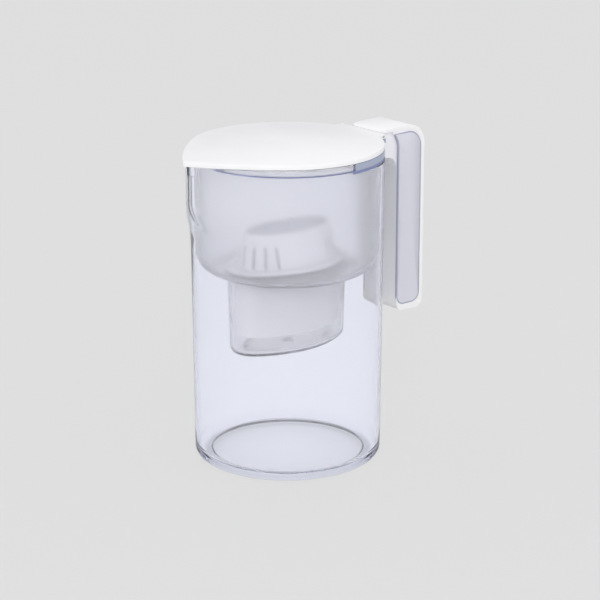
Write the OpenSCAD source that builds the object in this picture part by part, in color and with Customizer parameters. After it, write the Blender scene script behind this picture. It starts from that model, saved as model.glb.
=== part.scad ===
// Water filter pitcher with a flip lid.
// Millimetres, +Z up. The origin is the centre of the jug's foot, on the table.
// The handle points along +X and the pouring spout along -X.

/* [Jug] */
// Outer radius of the jug at its rim
jug_rim_r = 70; // [68:0.5:74]
// Outer radius of the jug just above the foot
jug_foot_r = 68.3; // [66:0.1:69]
// Wall thickness of the jug
jug_wall = 2.5; // [2:0.1:3]
// Height of the rim above the table
rim_z = 224.2; // [222:0.1:240]
// Height of the lowered rim on the handle side
rear_rim_z = 222.6; // [219:0.1:222.7]
// Radius of the rounding between the wall and the foot
foot_round = 7; // [4:0.5:9]
// Radius of the hollow under the foot
foot_hollow_r = 56; // [50:0.5:58]
// Depth of the hollow under the foot
foot_hollow_depth = 3; // [2:0.5:4]

/* [Spout] */
// Angle between the spout's axis and the point where its side leaves the jug
spout_angle = 50.5; // [49:0.5:52]
// Radius of the spout's bowed sides, seen from above
spout_side_r = 240; // [230:5:250]
// Height at which the spout starts to grow out of the wall
spout_low_z = 155; // [150:1:160]
// Height of the upstand round the spout, above the rim
spout_upstand = 5; // [4:0.1:5]
// Width of the notch that the water leaves by
pour_notch_w = 10; // [6:0.5:14]

/* [Lid] */
// Thickness of the lid
lid_thickness = 3.2; // [2.6:0.1:3.6]
// Height of the lid's top face
lid_top_z = 233; // [232.8:0.1:233.2]
// Half width of the lid's rear tongue
tongue_half_w = 24; // [22:0.5:26]
// Distance from the jug's axis to the hinge axis
hinge_x = 71.2; // [70.8:0.1:71.4]
// Radius of the hinge knuckle
knuckle_r = 2.1; // [1.9:0.1:2.2]
// Radius of the hinge pin
pin_r = 0.9; // [0.7:0.1:1]

/* [Handle] */
// Distance from the jug's axis to the grip's inner face
grip_in_x = 91.2; // [88:0.5:96]
// Distance from the jug's axis to the handle's outer face
grip_out_x = 117.1; // [112:0.5:120]
// Half width of the handle
handle_half_w = 17.2; // [14:0.2:19]
// Height of the handle's top face
handle_top_z = 234.4; // [234:0.1:236]
// Height of the handle's free lower end
handle_low_z = 93; // [80:1:110]
// Radius of the handle's outer top corner
handle_corner_r = 15.5; // [10:0.5:18]
// Radius of the shallow arch of the handle's top
handle_arch_r = 91; // [80:1:140]
// Thickness of the white cover along the back
cover_back = 3.1; // [1.8:0.1:3.4]
// Thickness of the white cover along the top
cover_top = 3; // [2.4:0.1:3.4]
// Thickness of the white cover under the lower end
cover_low = 4.6; // [3:0.2:6]

/* [Funnel] */
// Outer radius of the funnel's wall
funnel_r = 66.3; // [65:0.1:66.6]
// Wall thickness of the funnel
funnel_wall = 2.2; // [1.6:0.1:2.6]
// Height of the underside of the funnel's floor
funnel_low_z = 141; // [136:1:146]
// Radius of the rounding between the funnel's wall and floor
funnel_round = 15; // [10:1:18]
// Half length of the oval well that holds the cartridge
well_a = 49.8; // [48:0.2:50]
// Half width of the oval well
well_b = 28.4; // [27:0.2:29]
// Height of the underside of the well
well_low_z = 83.5; // [80:0.5:88]
// Radius of the outlet hole in the well's floor
outlet_r = 4; // [3:0.5:5]

/* [Cartridge] */
// Half length of the cartridge's cup
cup_a = 43.2; // [42:0.2:44]
// Half width of the cartridge's cup
cup_b = 23.6; // [23:0.2:24]
// Height of the underside of the cup
cup_low_z = 98; // [96:0.5:100]
// Half length of the hood at its foot
hood_a = 40.5; // [39:0.5:42]
// Half width of the hood at its foot
hood_b = 25.5; // [24:0.5:26]
// Height of the hood's top
hood_top_z = 172.6; // [168:0.2:174]
// Number of intake slots at each end of the hood
slot_count = 6; // [4:2:6]
// Width of an intake slot
slot_w = 2.3; // [1.6:0.1:2.6]
// Angle between neighbouring intake slots
slot_step = 26.5; // [20:0.5:27]

/* [Hidden] */
$fn = 128;
hull_fn = 32;
eps = 0.01;
// Gap between faces that move past each other
run_gap = 0.3;
// Gap between the hinge pin and the lid's bore
pin_gap = 0.05;

// Jug
jug_floor = 3;
inner_round = 5;
rear_angle = 88;
jug_in_rim_r = jug_rim_r - jug_wall;
jug_in_foot_r = jug_foot_r - jug_wall;
beak_r = jug_rim_r - 0.8;
beak_wall = 2.4;
beak_tip_r = 4.5;
beak_bow_less = 60;
beak_curve = 0.0125;
upstand_top_z = rim_z + spout_upstand;
upstand_start_x = -61;

// Funnel rim, seal and hinge frame
rim_ring_r = jug_rim_r - 0.4;
seal_thin = 0.8;
seal_thick = 2.2;
flange_top_z = lid_top_z - lid_thickness - run_gap;
funnel_in_r = funnel_r - funnel_wall;
funnel_in_round = funnel_round - funnel_wall;
funnel_floor_z = funnel_low_z + 2.5;
well_wall = 2.2;
well_taper = 1.5;
well_round = 6;
well_floor_z = well_low_z + 2.5;
seat_rib_a = 38;
seat_rib_b = 18;
seat_rib_w = 1.4;
seat_rib_h = 3;
stud_x = 33;
stud_y = 30;
stud_r = 2.2;
stud_h = 1.5;

// Lid and hinge
lid_low_z = lid_top_z - lid_thickness;
lid_r = jug_rim_r - 0.5;
hinge_z = lid_top_z - knuckle_r;
knuckle_half = 20.1;
ear_in_y = knuckle_half + run_gap;
ear_out_y = 23.3;
notch_x = hinge_x - knuckle_r - 0.4;
skirt_r = funnel_in_r - 0.4;
skirt_wall = 1.4;
skirt_h = 3;
lug_low_z = 226.3;
lug_top_z = hinge_z - knuckle_r - run_gap;

// Handle
root_x = hinge_x + knuckle_r + 0.7;
neck_low_z = 212;
neck_half_w = 15;
neck_fillet = 8;
brow_h = 13.4;
brow_r = 18;
crown_x = 90;
root_round = 6;
core_wall = 2.2;
core_half_w = handle_half_w - 0.4;
core_out_x = grip_out_x - cover_back;
core_top_z = handle_top_z - cover_top;
core_low_z = handle_low_z + cover_low;
core_low_r = 7;
channel_r = core_low_r - core_wall;
cap_low_r = 6;
snap_heights = [120, 165, 205];
snap_len = 6;
snap_w = 2;
snap_reach = 4;
snap_y = core_half_w - core_wall - snap_w - 0.05;

// Cartridge
cup_wall = 1.6;
cup_floor_z = cup_low_z + 2;
cup_flange_z = funnel_floor_z + 1.1;
cup_flange_top_z = cup_flange_z + 1.8;
outlet_slot_pitch = 6.4;
outlet_slot_w = 2.4;
cup_flange_a = well_a + 0.6;
cup_flange_b = well_b + 0.8;
hood_top_a = 37.6;
hood_top_b = 18;
hood_wall = 1.6;
hood_dish_a = 35;
hood_dish_b = 13;
hood_dish_depth = 1.4;
slot_low_z = cup_flange_top_z + 1;
slot_top_z = 165;
mesh_t = 0.6;
bed_gap = 0.2;
divider_z = 118;
inlet_mesh_z = 142.4;

// ---------------------------------------------------------------- shared shapes

// Radius of the end arcs of an oval with half lengths a and b
function end_r(a, b) = 1.15 * b * b / a;

// Oval of four tangent arcs, half length a along X and half width b along Y
module oval(a, b) {
    r = end_r(a, b);
    cx = a - r;
    side_r = (cx * cx + b * b - r * r) / (2 * (b - r));
    intersection() {
        translate([0, side_r - b]) circle(side_r);
        translate([0, b - side_r]) circle(side_r);
        square([2 * cx * side_r / (side_r - r), 2 * b], center = true);
    }
    for (side = [-1, 1]) translate([side * cx, 0]) circle(r);
}

// Upright oval slab from z0 to z1
module oval_slab(a, b, z0, z1) {
    translate([0, 0, z0]) linear_extrude(z1 - z0) oval(a, b);
}

// Oval ring, its walls upright
module oval_ring(a, b, wall, z0, z1) {
    difference() {
        oval_slab(a, b, z0, z1);
        oval_slab(a - wall, b - wall, z0 - 1, z1 + 1);
    }
}

// Sector of the plan, half_angle to each side of the direction dir
module sector(half_angle, dir, z0, z1) {
    far = 160;
    steps = [-1, -0.5, 0, 0.5, 1];
    rim = [for (s = steps) far * [cos(dir + s * half_angle), sin(dir + s * half_angle)]];
    translate([0, 0, z0]) linear_extrude(z1 - z0) polygon(concat([[0, 0]], rim));
}

// Plain ring between two radii
module ring(r_in, r_out, z0, z1) {
    translate([0, 0, z0]) difference() {
        cylinder(r = r_out, h = z1 - z0);
        translate([0, 0, -1]) cylinder(r = r_in, h = z1 - z0 + 2);
    }
}

// Plan of the pointed spout: two sides bowed to bow_r that touch a circle of radius r, with a rounded tip
module beak_plan(r, tip_r, bow_r) {
    reach = bow_r - jug_rim_r;
    side_r = reach + r;
    cx = reach * cos(spout_angle);
    cy = reach * sin(spout_angle);
    foot_x = -r * cos(spout_angle);
    foot_y = r * sin(spout_angle);
    tip_x = cx - sqrt(pow(side_r - tip_r, 2) - cy * cy);
    touch_x = cx + (tip_x - cx) * side_r / (side_r - tip_r);
    polygon([[0, 0], [foot_x, foot_y], [foot_x, -foot_y]]);
    intersection() {
        translate([cx, -cy]) circle(side_r);
        translate([cx, cy]) circle(side_r);
        translate([touch_x, -r]) square([foot_x - touch_x, 2 * r]);
    }
    translate([tip_x, 0]) circle(tip_r);
}

// Half profile of a round vessel: wall radius r0 low down and r1 at z1, rounded into a floor at z0
module vessel_profile(r0, r1, z0, z1, round_r) {
    polygon([
        [0, z0], [r0 - round_r, z0], [r0 - round_r, z0 + round_r],
        [r0, z0 + round_r], [r1, z1], [0, z1]
    ]);
    translate([r0 - round_r, z0 + round_r]) circle(round_r);
}

// Solid of the spout: its plan, with a belly that swells out of the jug's wall in a long curve
module beak(r, tip_r, low_z, inset) {
    belly_r = jug_rim_r - inset;
    intersection() {
        translate([0, 0, low_z]) linear_extrude(upstand_top_z + 1 - low_z)
            beak_plan(r, tip_r, spout_side_r - beak_bow_less);
        rotate_extrude() polygon([
            [0, low_z], [belly_r - 0.8, low_z],
            for (rise = [4:4:44]) [belly_r - 0.8 + beak_curve * rise * rise, low_z + rise],
            [belly_r - 0.8 + beak_curve * 44 * 44, upstand_top_z + 1], [0, upstand_top_z + 1]
        ]);
    }
}

// ------------------------------------------------------------------------- jug

module jug_outer() {
    rotate_extrude() vessel_profile(jug_foot_r, jug_rim_r, 0, rim_z, foot_round);
}

module jug_inner() {
    floor_z = foot_hollow_depth + jug_floor;
    rotate_extrude() vessel_profile(jug_in_foot_r, jug_in_rim_r, floor_z, rim_z + 1, inner_round);
}

module jug_body() {
    color([0.86, 0.88, 0.94, 0.35]) difference() {
        union() {
            jug_outer();
            beak(beak_r, beak_tip_r, spout_low_z, 0);
        }
        jug_inner();
        beak(beak_r - beak_wall, beak_tip_r - beak_wall, spout_low_z + 1.5, beak_wall + 0.4);
        // Clearance for the funnel's round rim inside the upstand
        translate([0, 0, rim_z]) cylinder(r = jug_rim_r + 0.2, h = 10);
        translate([upstand_start_x, -80, rim_z]) cube([200, 160, 10]);
        // Even top of the upstand
        translate([-120, -80, upstand_top_z]) cube([120, 160, 10]);
        // Lowered rim on the handle side
        sector(rear_angle + 0.4, 0, rear_rim_z, rim_z + 10);
        // Pouring notch at the tip
        translate([-120, -pour_notch_w / 2, rim_z - 1.5]) cube([120 - jug_rim_r - 8, pour_notch_w, 10]);
        // Hollow under the foot
        translate([0, 0, -1]) cylinder(r = foot_hollow_r, h = foot_hollow_depth + 1);
    }
}

// ---------------------------------------------------------------------- handle

// Outline of the handle seen from the side, cut back by inset along its back and lower end
module handle_side(back, top, low, corner_r, low_r) {
    x1 = grip_out_x - back;
    z1 = handle_top_z - top;
    z0 = handle_low_z + low;
    polygon([
        [root_x, z1], [x1 - corner_r, z1], [x1 - corner_r, z1 - corner_r], [x1, z1 - corner_r],
        [x1, z0 + low_r], [x1 - low_r, z0 + low_r], [x1 - low_r, z0],
        [grip_in_x + low_r, z0], [grip_in_x + low_r, z0 + low_r], [grip_in_x, z0 + low_r],
        [grip_in_x, neck_low_z], [root_x, neck_low_z]
    ]);
    translate([x1 - corner_r, z1 - corner_r]) circle(corner_r);
    translate([x1 - low_r, z0 + low_r]) circle(low_r);
    translate([grip_in_x + low_r, z0 + low_r]) circle(low_r);
}

// Extrude a side outline across the handle
module across(half_w) {
    translate([0, half_w, 0]) rotate([90, 0, 0]) linear_extrude(2 * half_w) children();
}

module handle_core() {
    color([0.82, 0.83, 0.88, 0.7]) difference() {
        union() {
            // Grip
            across(core_half_w) intersection() {
                handle_side(cover_back, cover_top, cover_low, handle_corner_r - cover_back, core_low_r);
                translate([grip_in_x, 0]) square([60, 300]);
            }
            // Brow that sweeps the grip's sides forward under the cover
            across(core_half_w) translate([grip_in_x, core_top_z - brow_h]) difference() {
                translate([-brow_r / 2, 0]) square([brow_r / 2 + 3, brow_h]);
                translate([-brow_r, 0]) circle(brow_r);
            }
            // Neck that reaches the jug's wall, below the hinge
            across(neck_half_w) difference() {
                union() {
                    translate([60, neck_low_z]) square([grip_in_x - 60 + 3, core_top_z - neck_low_z]);
                    translate([grip_in_x - neck_fillet, neck_low_z - neck_fillet])
                        square([neck_fillet + 1, neck_fillet + 1]);
                }
                translate([grip_in_x - neck_fillet, neck_low_z - neck_fillet]) circle(neck_fillet);
                translate([0, lug_low_z - 0.4]) square([root_x + 2, 20]);
            }
        }
        jug_outer();
        translate([0, 0, rear_rim_z - 0.3]) cylinder(r = jug_rim_r, h = 20);
        // The grip is a channel, open towards the cover
        across(core_half_w - core_wall)
            translate([grip_in_x + core_wall, core_low_z + core_wall]) difference() {
                square([40, core_top_z - core_low_z - 2 * core_wall]);
                difference() {
                    translate([-1, -1]) square(channel_r + 1);
                    translate([channel_r, channel_r]) circle(channel_r);
                }
            }
    }
}

module handle_cover() {
    color([0.95, 0.95, 0.95]) {
        difference() {
            across(handle_half_w) handle_side(0, 0, 0, handle_corner_r, cap_low_r);
            // Room for the core
            across(handle_half_w + 1) {
                handle_side(cover_back, cover_top, cover_low, handle_corner_r - cover_back, core_low_r);
                translate([root_x - 20, core_low_z + core_low_r])
                    square([grip_in_x - root_x + 21, core_top_z - core_low_z - core_low_r]);
            }
            // Rounded corners of the plate beside the lid
            for (side = [-1, 1]) translate([root_x, side * handle_half_w, core_top_z]) difference() {
                cube([2 * root_round, 2 * root_round, 12], center = true);
                translate([root_round, -side * root_round, -7]) cylinder(r = root_round, h = 14);
            }
            // Shallow arch down to the lid
            across(handle_half_w + 1) difference() {
                translate([root_x - 1, core_top_z]) square([crown_x - root_x + 1, cover_top + 1]);
                translate([crown_x, handle_top_z - handle_arch_r]) circle(handle_arch_r);
            }
        }
        // Snap lugs that hold the cover in the core's channel
        for (z = snap_heights, side = [0, 1]) mirror([0, side, 0])
            translate([core_out_x - snap_reach, snap_y, z]) cube([snap_reach + eps, snap_w, snap_len]);
    }
}

// ---------------------------------------------------------------- funnel group

// Body of the oval well, inset by the given wall, with a rounded lower edge
module well_solid(inset, low_z, top_z) {
    hull() {
        for (step = [[0, 0.6], [0.25, 0.25], [1, 0]])
            translate([0, 0, low_z + step[0] * well_round])
                linear_extrude(eps)
                    oval(well_a - well_taper - inset - step[1] * well_round,
                         well_b - well_taper - inset - step[1] * well_round, $fn = hull_fn);
        translate([0, 0, top_z]) linear_extrude(eps) oval(well_a - inset, well_b - inset, $fn = hull_fn);
    }
}

module funnel() {
    color([0.80, 0.81, 0.87, 0.6]) {
        difference() {
            union() {
                rotate_extrude()
                    vessel_profile(funnel_r, funnel_r, funnel_low_z, flange_top_z, funnel_round);
                // Flange that rests on the jug's rim, except on the handle side
                difference() {
                    translate([0, 0, rim_z + seal_thin])
                        cylinder(r = rim_ring_r, h = flange_top_z - rim_z - seal_thin);
                    sector(rear_angle, 0, rim_z, flange_top_z + 1);
                }
                well_solid(0, well_low_z, funnel_low_z + 1);
            }
            rotate_extrude()
                vessel_profile(funnel_in_r, funnel_in_r, funnel_floor_z, flange_top_z + 1, funnel_in_round);
            well_solid(well_wall, well_floor_z, funnel_floor_z + 1);
            translate([0, 0, well_low_z - 1]) cylinder(r = outlet_r, h = 6);
        }
        // Ribs on the well's floor that the cartridge stands clear on
        difference() {
            oval_ring(seat_rib_a, seat_rib_b, seat_rib_w, well_floor_z - 0.5, well_floor_z + seat_rib_h);
            translate([-24, -40, 0]) cube([48, 80, 200]);
        }
        // Small studs on the funnel's floor
        for (side = [-1, 1])
            translate([stud_x, side * stud_y, funnel_floor_z - 0.5]) cylinder(r = stud_r, h = stud_h + 0.5);
    }
}

module rim_seal() {
    seal_in_r = jug_in_rim_r + 0.2;
    seal_out_r = rim_ring_r - 0.1;
    color([0.22, 0.25, 0.42]) {
        difference() {
            ring(seal_in_r, seal_out_r, rim_z, rim_z + seal_thin);
            sector(rear_angle, 0, rim_z - 1, rim_z + 2);
        }
        intersection() {
            ring(seal_in_r, seal_out_r, rear_rim_z, rear_rim_z + seal_thick);
            sector(rear_angle - 0.5, 0, rear_rim_z - 1, rim_z + 2);
        }
        // Short risers that join the low and the high stretch
        for (side = [-1, 1]) intersection() {
            ring(seal_in_r, seal_out_r, rear_rim_z, rim_z + seal_thin);
            sector(0.8, side * (rear_angle - 0.75), rear_rim_z - 1, rim_z + 2);
        }
    }
}

module hinge_frame() {
    frame_in_r = funnel_r + 0.05;
    frame_low_z = rear_rim_z + seal_thick;
    color([0.55, 0.60, 0.72, 0.8]) difference() {
        union() {
            intersection() {
                ring(frame_in_r, rim_ring_r, frame_low_z, flange_top_z);
                sector(rear_angle - 2, 0, 0, 300);
            }
            // Lug under the hinge
            translate([60, -ear_out_y, lug_low_z])
                cube([hinge_x + knuckle_r - 60, 2 * ear_out_y, lug_top_z - lug_low_z]);
            // Ears at both ends of the pin
            for (side = [-1, 1]) translate([0, side * (ear_in_y + ear_out_y) / 2, 0]) {
                ear_w = ear_out_y - ear_in_y;
                translate([hinge_x, ear_w / 2, hinge_z]) rotate([90, 0, 0])
                    cylinder(r = knuckle_r, h = ear_w);
                translate([hinge_x - knuckle_r, -ear_w / 2, lug_top_z - 1])
                    cube([2 * knuckle_r, ear_w, hinge_z - lug_top_z + 1]);
            }
        }
        cylinder(r = frame_in_r, h = 300);
        // Relief round the lid's knuckle
        translate([hinge_x, ear_in_y, hinge_z]) rotate([90, 0, 0])
            cylinder(r = knuckle_r + run_gap, h = 2 * ear_in_y);
        translate([hinge_x, ear_out_y + 1, hinge_z]) rotate([90, 0, 0])
            cylinder(r = pin_r, h = 2 * ear_out_y + 2);
    }
}

module hinge_pin() {
    color([0.75, 0.76, 0.78])
        translate([hinge_x, ear_out_y, hinge_z]) rotate([90, 0, 0]) cylinder(r = pin_r, h = 2 * ear_out_y);
}

// Plan of the lid: a disc, the pointed tip over the spout and the tongue that carries the hinge
module lid_plan() {
    circle(lid_r);
    beak_plan(lid_r, 2, spout_side_r);
    translate([30, -tongue_half_w]) square([notch_x - 30, 2 * tongue_half_w]);
    translate([30, -knuckle_half]) square([hinge_x - 30, 2 * knuckle_half]);
}

module flip_lid() {
    color([0.96, 0.96, 0.96]) {
        difference() {
            union() {
                translate([0, 0, lid_low_z]) linear_extrude(lid_thickness) lid_plan();
                translate([hinge_x, knuckle_half, hinge_z]) rotate([90, 0, 0])
                    cylinder(r = knuckle_r, h = 2 * knuckle_half);
            }
            translate([hinge_x, knuckle_half + 1, hinge_z]) rotate([90, 0, 0])
                cylinder(r = pin_r + pin_gap, h = 2 * knuckle_half + 2);
        }
        // Skirt that drops into the funnel's mouth
        ring(skirt_r - skirt_wall, skirt_r, lid_low_z - skirt_h, lid_low_z + 0.5);
    }
}

// ------------------------------------------------------------- cartridge group

module cartridge_cup() {
    color([0.84, 0.84, 0.89]) difference() {
        union() {
            oval_slab(cup_a, cup_b, cup_low_z, cup_flange_top_z);
            oval_slab(cup_flange_a, cup_flange_b, cup_flange_z, cup_flange_top_z);
        }
        oval_slab(cup_a - cup_wall, cup_b - cup_wall, cup_floor_z, cup_flange_top_z + 1);
        // Outlet slots in the cup's floor
        for (i = [-5:5]) {
            reach = 0.72 * cup_b * sqrt(1 - pow(i * outlet_slot_pitch / cup_a, 2));
            translate([i * outlet_slot_pitch - outlet_slot_w / 2, -reach, cup_low_z - 1])
                cube([outlet_slot_w, 2 * reach, 4]);
        }
    }
}

// Body of the hood, inset by the given wall
module hood_solid(inset, z0, z1) {
    hull() {
        translate([0, 0, z0]) linear_extrude(eps) oval(hood_a - inset, hood_b - inset, $fn = hull_fn);
        translate([0, 0, z1 - 2]) linear_extrude(eps)
            oval(hood_top_a - inset, hood_top_b - inset, $fn = hull_fn);
        translate([0, 0, z1 - eps]) linear_extrude(eps)
            oval(hood_top_a - inset - 1.2, hood_top_b - inset - 1.2, $fn = hull_fn);
    }
}

module cartridge_hood() {
    end_radius = end_r(hood_a, hood_b);
    color([0.84, 0.84, 0.89]) difference() {
        union() {
            oval_slab(hood_a + 2.4, hood_b + 1.6, cup_flange_top_z, cup_flange_top_z + 1);
            hood_solid(0, cup_flange_top_z, hood_top_z);
        }
        hood_solid(hood_wall, cup_flange_top_z - 1, hood_top_z - hood_wall - hood_dish_depth);
        // Dish in the top
        oval_slab(hood_dish_a, hood_dish_b, hood_top_z - hood_dish_depth, hood_top_z + 1);
        // Intake slots round both ends
        for (end = [0, 180], i = [0:slot_count - 1]) {
            turn = (i - (slot_count - 1) / 2) * slot_step;
            rotate([0, 0, end]) translate([hood_a - end_radius, 0, slot_low_z]) rotate([0, 0, turn])
                translate([end_radius - 8, -slot_w / 2, 0]) cube([16, slot_w, slot_top_z - slot_low_z]);
        }
    }
}

module cartridge_seal() {
    color([0.72, 0.75, 0.80])
        oval_ring(cup_flange_a - 0.3, cup_flange_b - 0.3, 2.4, funnel_floor_z, cup_flange_z);
}

// Flat filling of the cup between two heights
module cup_layer(z0, z1) {
    oval_slab(cup_a - cup_wall - bed_gap, cup_b - cup_wall - bed_gap, z0, z1);
}

module inlet_mesh() {
    color([0.93, 0.93, 0.94]) cup_layer(inlet_mesh_z, inlet_mesh_z + mesh_t);
}

module divider_mesh() {
    color([0.93, 0.93, 0.94]) cup_layer(divider_z, divider_z + mesh_t);
}

module outlet_mesh() {
    color([0.93, 0.93, 0.94]) cup_layer(cup_floor_z, cup_floor_z + mesh_t);
}

module carbon_bed() {
    color([0.12, 0.12, 0.13]) cup_layer(divider_z + mesh_t, inlet_mesh_z);
}

module resin_bed() {
    color([0.88, 0.80, 0.62]) cup_layer(cup_floor_z + mesh_t, divider_z);
}

jug_body();
handle_core();
handle_cover();
funnel();
rim_seal();
hinge_frame();
hinge_pin();
flip_lid();
cartridge_cup();
cartridge_hood();
cartridge_seal();
inlet_mesh();
divider_mesh();
outlet_mesh();
carbon_bed();
resin_bed();
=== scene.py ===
"""Water filter pitcher with a flip lid.

Sizes in the classes are millimetres, and every mesh is made in metres in the row frame: +Z up, the handle
along +X and the spout along -X.
"""

import logging
import math
from collections.abc import Callable, Iterator, Sequence
from contextlib import contextmanager
from dataclasses import dataclass
from enum import Enum

import bmesh
import bpy
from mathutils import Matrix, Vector


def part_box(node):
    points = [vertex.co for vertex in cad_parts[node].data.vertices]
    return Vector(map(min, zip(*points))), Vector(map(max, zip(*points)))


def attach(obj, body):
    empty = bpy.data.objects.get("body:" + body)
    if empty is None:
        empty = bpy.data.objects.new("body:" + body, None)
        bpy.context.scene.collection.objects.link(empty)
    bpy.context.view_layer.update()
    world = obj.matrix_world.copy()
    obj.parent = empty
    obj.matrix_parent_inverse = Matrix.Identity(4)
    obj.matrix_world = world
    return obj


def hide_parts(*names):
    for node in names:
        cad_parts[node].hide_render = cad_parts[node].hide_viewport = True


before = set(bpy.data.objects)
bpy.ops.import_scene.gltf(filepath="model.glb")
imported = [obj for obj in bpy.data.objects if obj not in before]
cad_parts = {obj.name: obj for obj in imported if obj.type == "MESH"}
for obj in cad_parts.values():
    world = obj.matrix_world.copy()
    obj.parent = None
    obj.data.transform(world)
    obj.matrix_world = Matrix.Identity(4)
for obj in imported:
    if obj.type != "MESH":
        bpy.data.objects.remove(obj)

LOG = logging.getLogger("pitcher")
MM = 0.001
OVAL_END = 1.15  # end radius of an oval, as a share of that of an ellipse
STEP_GAP = 0.06  # degrees from a step in a rim to the column on either side of it
Mesh = bpy.types.Mesh
Colour = tuple[float, float, float]
Spot = tuple[float, float]
Point = tuple[float, float, float]
Ring = list[Point]


# ---- node maths


def operator(operation: str, swapped: bool = False) -> Callable[["Wire", "Wire | float"], "Wire"]:
    """A Python operator that adds a Math node.

    Args:
        operation: the Math node's operation.
        swapped: True where the wire stands on the right.

    Returns:
        The operator's method.
    """

    def apply(wire: "Wire", other: "Wire | float") -> "Wire":
        """Join the wire and the other value in a Math node."""
        return wire.sheet.sum_up(operation, *((other, wire) if swapped else (wire, other)))

    return apply


class Wire:
    """A node socket that takes part in arithmetic."""

    def __init__(self, sheet: "NodeSheet", socket: bpy.types.NodeSocket | None) -> None:
        """Keep the sheet and the socket."""
        self.sheet = sheet
        self.socket = socket

    __add__ = __radd__ = operator("ADD")
    __mul__ = __rmul__ = operator("MULTIPLY")
    __sub__ = operator("SUBTRACT")
    __rsub__ = operator("SUBTRACT", swapped=True)
    __truediv__ = operator("DIVIDE")
    __rtruediv__ = operator("DIVIDE", swapped=True)

    def clamped(self) -> "Wire":
        """The value held between 0 and 1."""
        return self.sheet.sum_up("ADD", self, 0.0, clamp=True)


class NodeSheet:
    """A node tree that is filled with expressions."""

    def __init__(self, tree: bpy.types.NodeTree) -> None:
        """Start on a tree with no nodes."""
        self.tree = tree
        tree.nodes.clear()

    def put(
        self,
        kind: str,
        settings: dict[str, object] | None = None,
        inputs: dict[str | int, object] | None = None,
        out: str | int = 0,
    ) -> Wire:
        """Add one node.

        Args:
            kind: the node's type name.
            settings: attributes set before the sockets are read. "stops" holds a colour ramp's stops.
            inputs: values or wires by socket name or number.
            out: the output that the wire stands for.

        Returns:
            The wire of the chosen output.
        """
        node = self.tree.nodes.new(kind)
        for name, value in (settings or {}).items():
            if name == "stops":
                self._set_stops(node.color_ramp.elements, value)
            else:
                setattr(node, name, value)
        for name, value in (inputs or {}).items():
            socket = node.inputs[name]
            for item in value if isinstance(value, list) else [value]:
                if isinstance(item, Wire):
                    self.tree.links.new(item.socket, socket)
                else:
                    socket.default_value = item
        return Wire(self, node.outputs[out] if len(node.outputs) else None)

    @staticmethod
    def _set_stops(elements: bpy.types.ColorRampElements, stops: Sequence[tuple[float, Colour]]) -> None:
        """Give a colour ramp its stops.

        Args:
            elements: the ramp's elements.
            stops: place and colour of each stop.
        """
        while len(elements) < len(stops):
            elements.new(0.5)
        for element, (place, colour) in zip(elements, stops):
            element.position = place
            element.color = opaque(colour)

    def sum_up(
        self, operation: str, first: "Wire | float", second: "Wire | float | None" = None, clamp: bool = False
    ) -> Wire:
        """Add a Math node.

        Args:
            operation: the Math node's operation.
            first: its first value.
            second: its second value, where it takes two.
            clamp: True to hold the result between 0 and 1.

        Returns:
            The wire of the result.
        """
        values = {0: first} if second is None else {0: first, 1: second}
        return self.put("ShaderNodeMath", {"operation": operation, "use_clamp": clamp}, values)

    def tint(self, share: "Wire | float", first: object, second: object) -> Wire:
        """Mix two colours or colour wires by the share of the second."""
        return self.put("ShaderNodeMix", {"data_type": "RGBA"}, {0: share, 6: first, 7: second}, out=2)

    def ramp(self, stops: Sequence[tuple[float, Colour]], place: Wire) -> Wire:
        """The colour that a row of stops has at a place from 0 to 1."""
        return self.put("ShaderNodeValToRGB", {"stops": stops}, {"Fac": place})


def opaque(colour: Colour | float) -> tuple[float, float, float, float]:
    """The colour, or the grey of a level, with full alpha."""
    return (*colour, 1.0) if isinstance(colour, tuple) else (colour, colour, colour, 1.0)


# ---- finishes


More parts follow.
